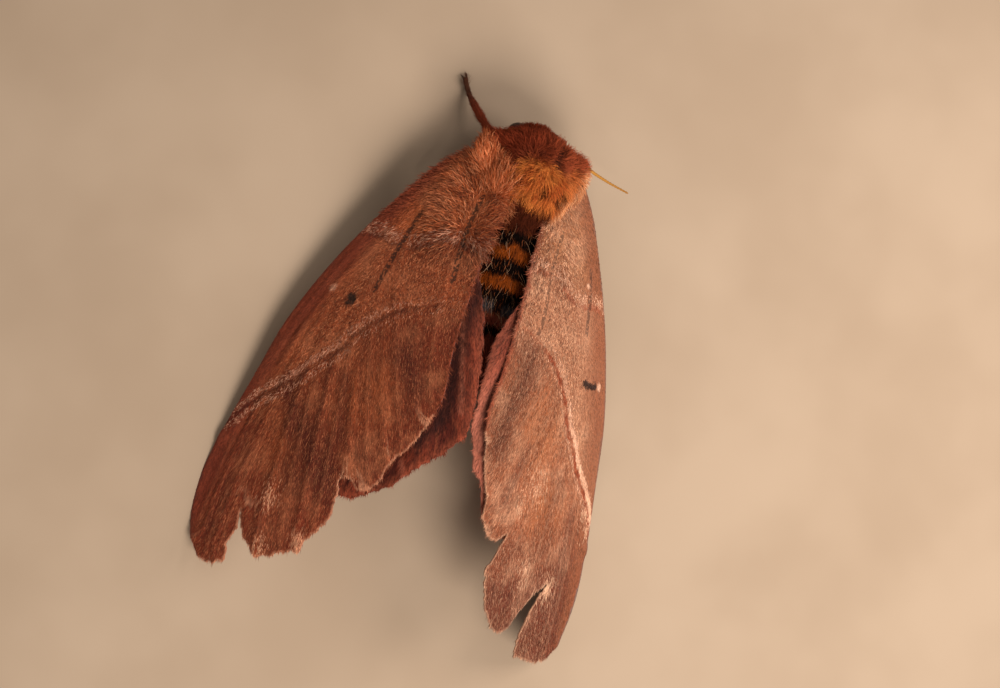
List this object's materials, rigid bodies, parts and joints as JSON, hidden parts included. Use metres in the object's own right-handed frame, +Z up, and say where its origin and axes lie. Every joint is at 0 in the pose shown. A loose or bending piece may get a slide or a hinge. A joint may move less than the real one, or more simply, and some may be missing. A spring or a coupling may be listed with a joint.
{
  "type": "moth figure",
  "caption": "Life-size still model of a resting female moth: long worn reddish-tan forewings held as a low roof over dark hindwings, a hairy orange body, thin antennae and legs.",
  "frame": {"origin": "middle of the moth's box on the floor it rests on", "axes": "+Y along the body towards the head, +X to the moth's right, +Z up"},
  "size_m": [0.0414, 0.0556, 0.0135],
  "materials": {
    "head_hair": "dense dark red-brown hair, matte",
    "thorax_hair": "dense orange to red-brown hair, matte",
    "abdomen_hair": "short hair in black and orange bands, matte",
    "wing_scales": "thin membrane covered in matte reddish-tan scales",
    "hindwing_scales": "thin membrane covered in matte dark red-brown scales",
    "leg_hair": "short red-brown hair over dark horn, matte",
    "antenna_horn": "golden-yellow horn with fine short side teeth",
    "eye_glass": "dark faceted eye, glossy"
  },
  "bodies": {
    "root": {"thorax": "thorax_hair", "head": "head_hair", "eye_left": "eye_glass", "eye_right": "eye_glass", "abdomen": "abdomen_hair", "forewing_left": "wing_scales", "forewing_right": "wing_scales", "hindwing_left": "hindwing_scales", "hindwing_right": "hindwing_scales", "foreleg_left": "leg_hair", "foreleg_right": "leg_hair", "midleg_left": "leg_hair", "midleg_right": "leg_hair", "hindleg_left": "leg_hair", "hindleg_right": "leg_hair", "antenna_left": "antenna_horn", "antenna_right": "antenna_horn", "palp_left": "leg_hair", "palp_right": "leg_hair"}
  },
  "joints": []
}
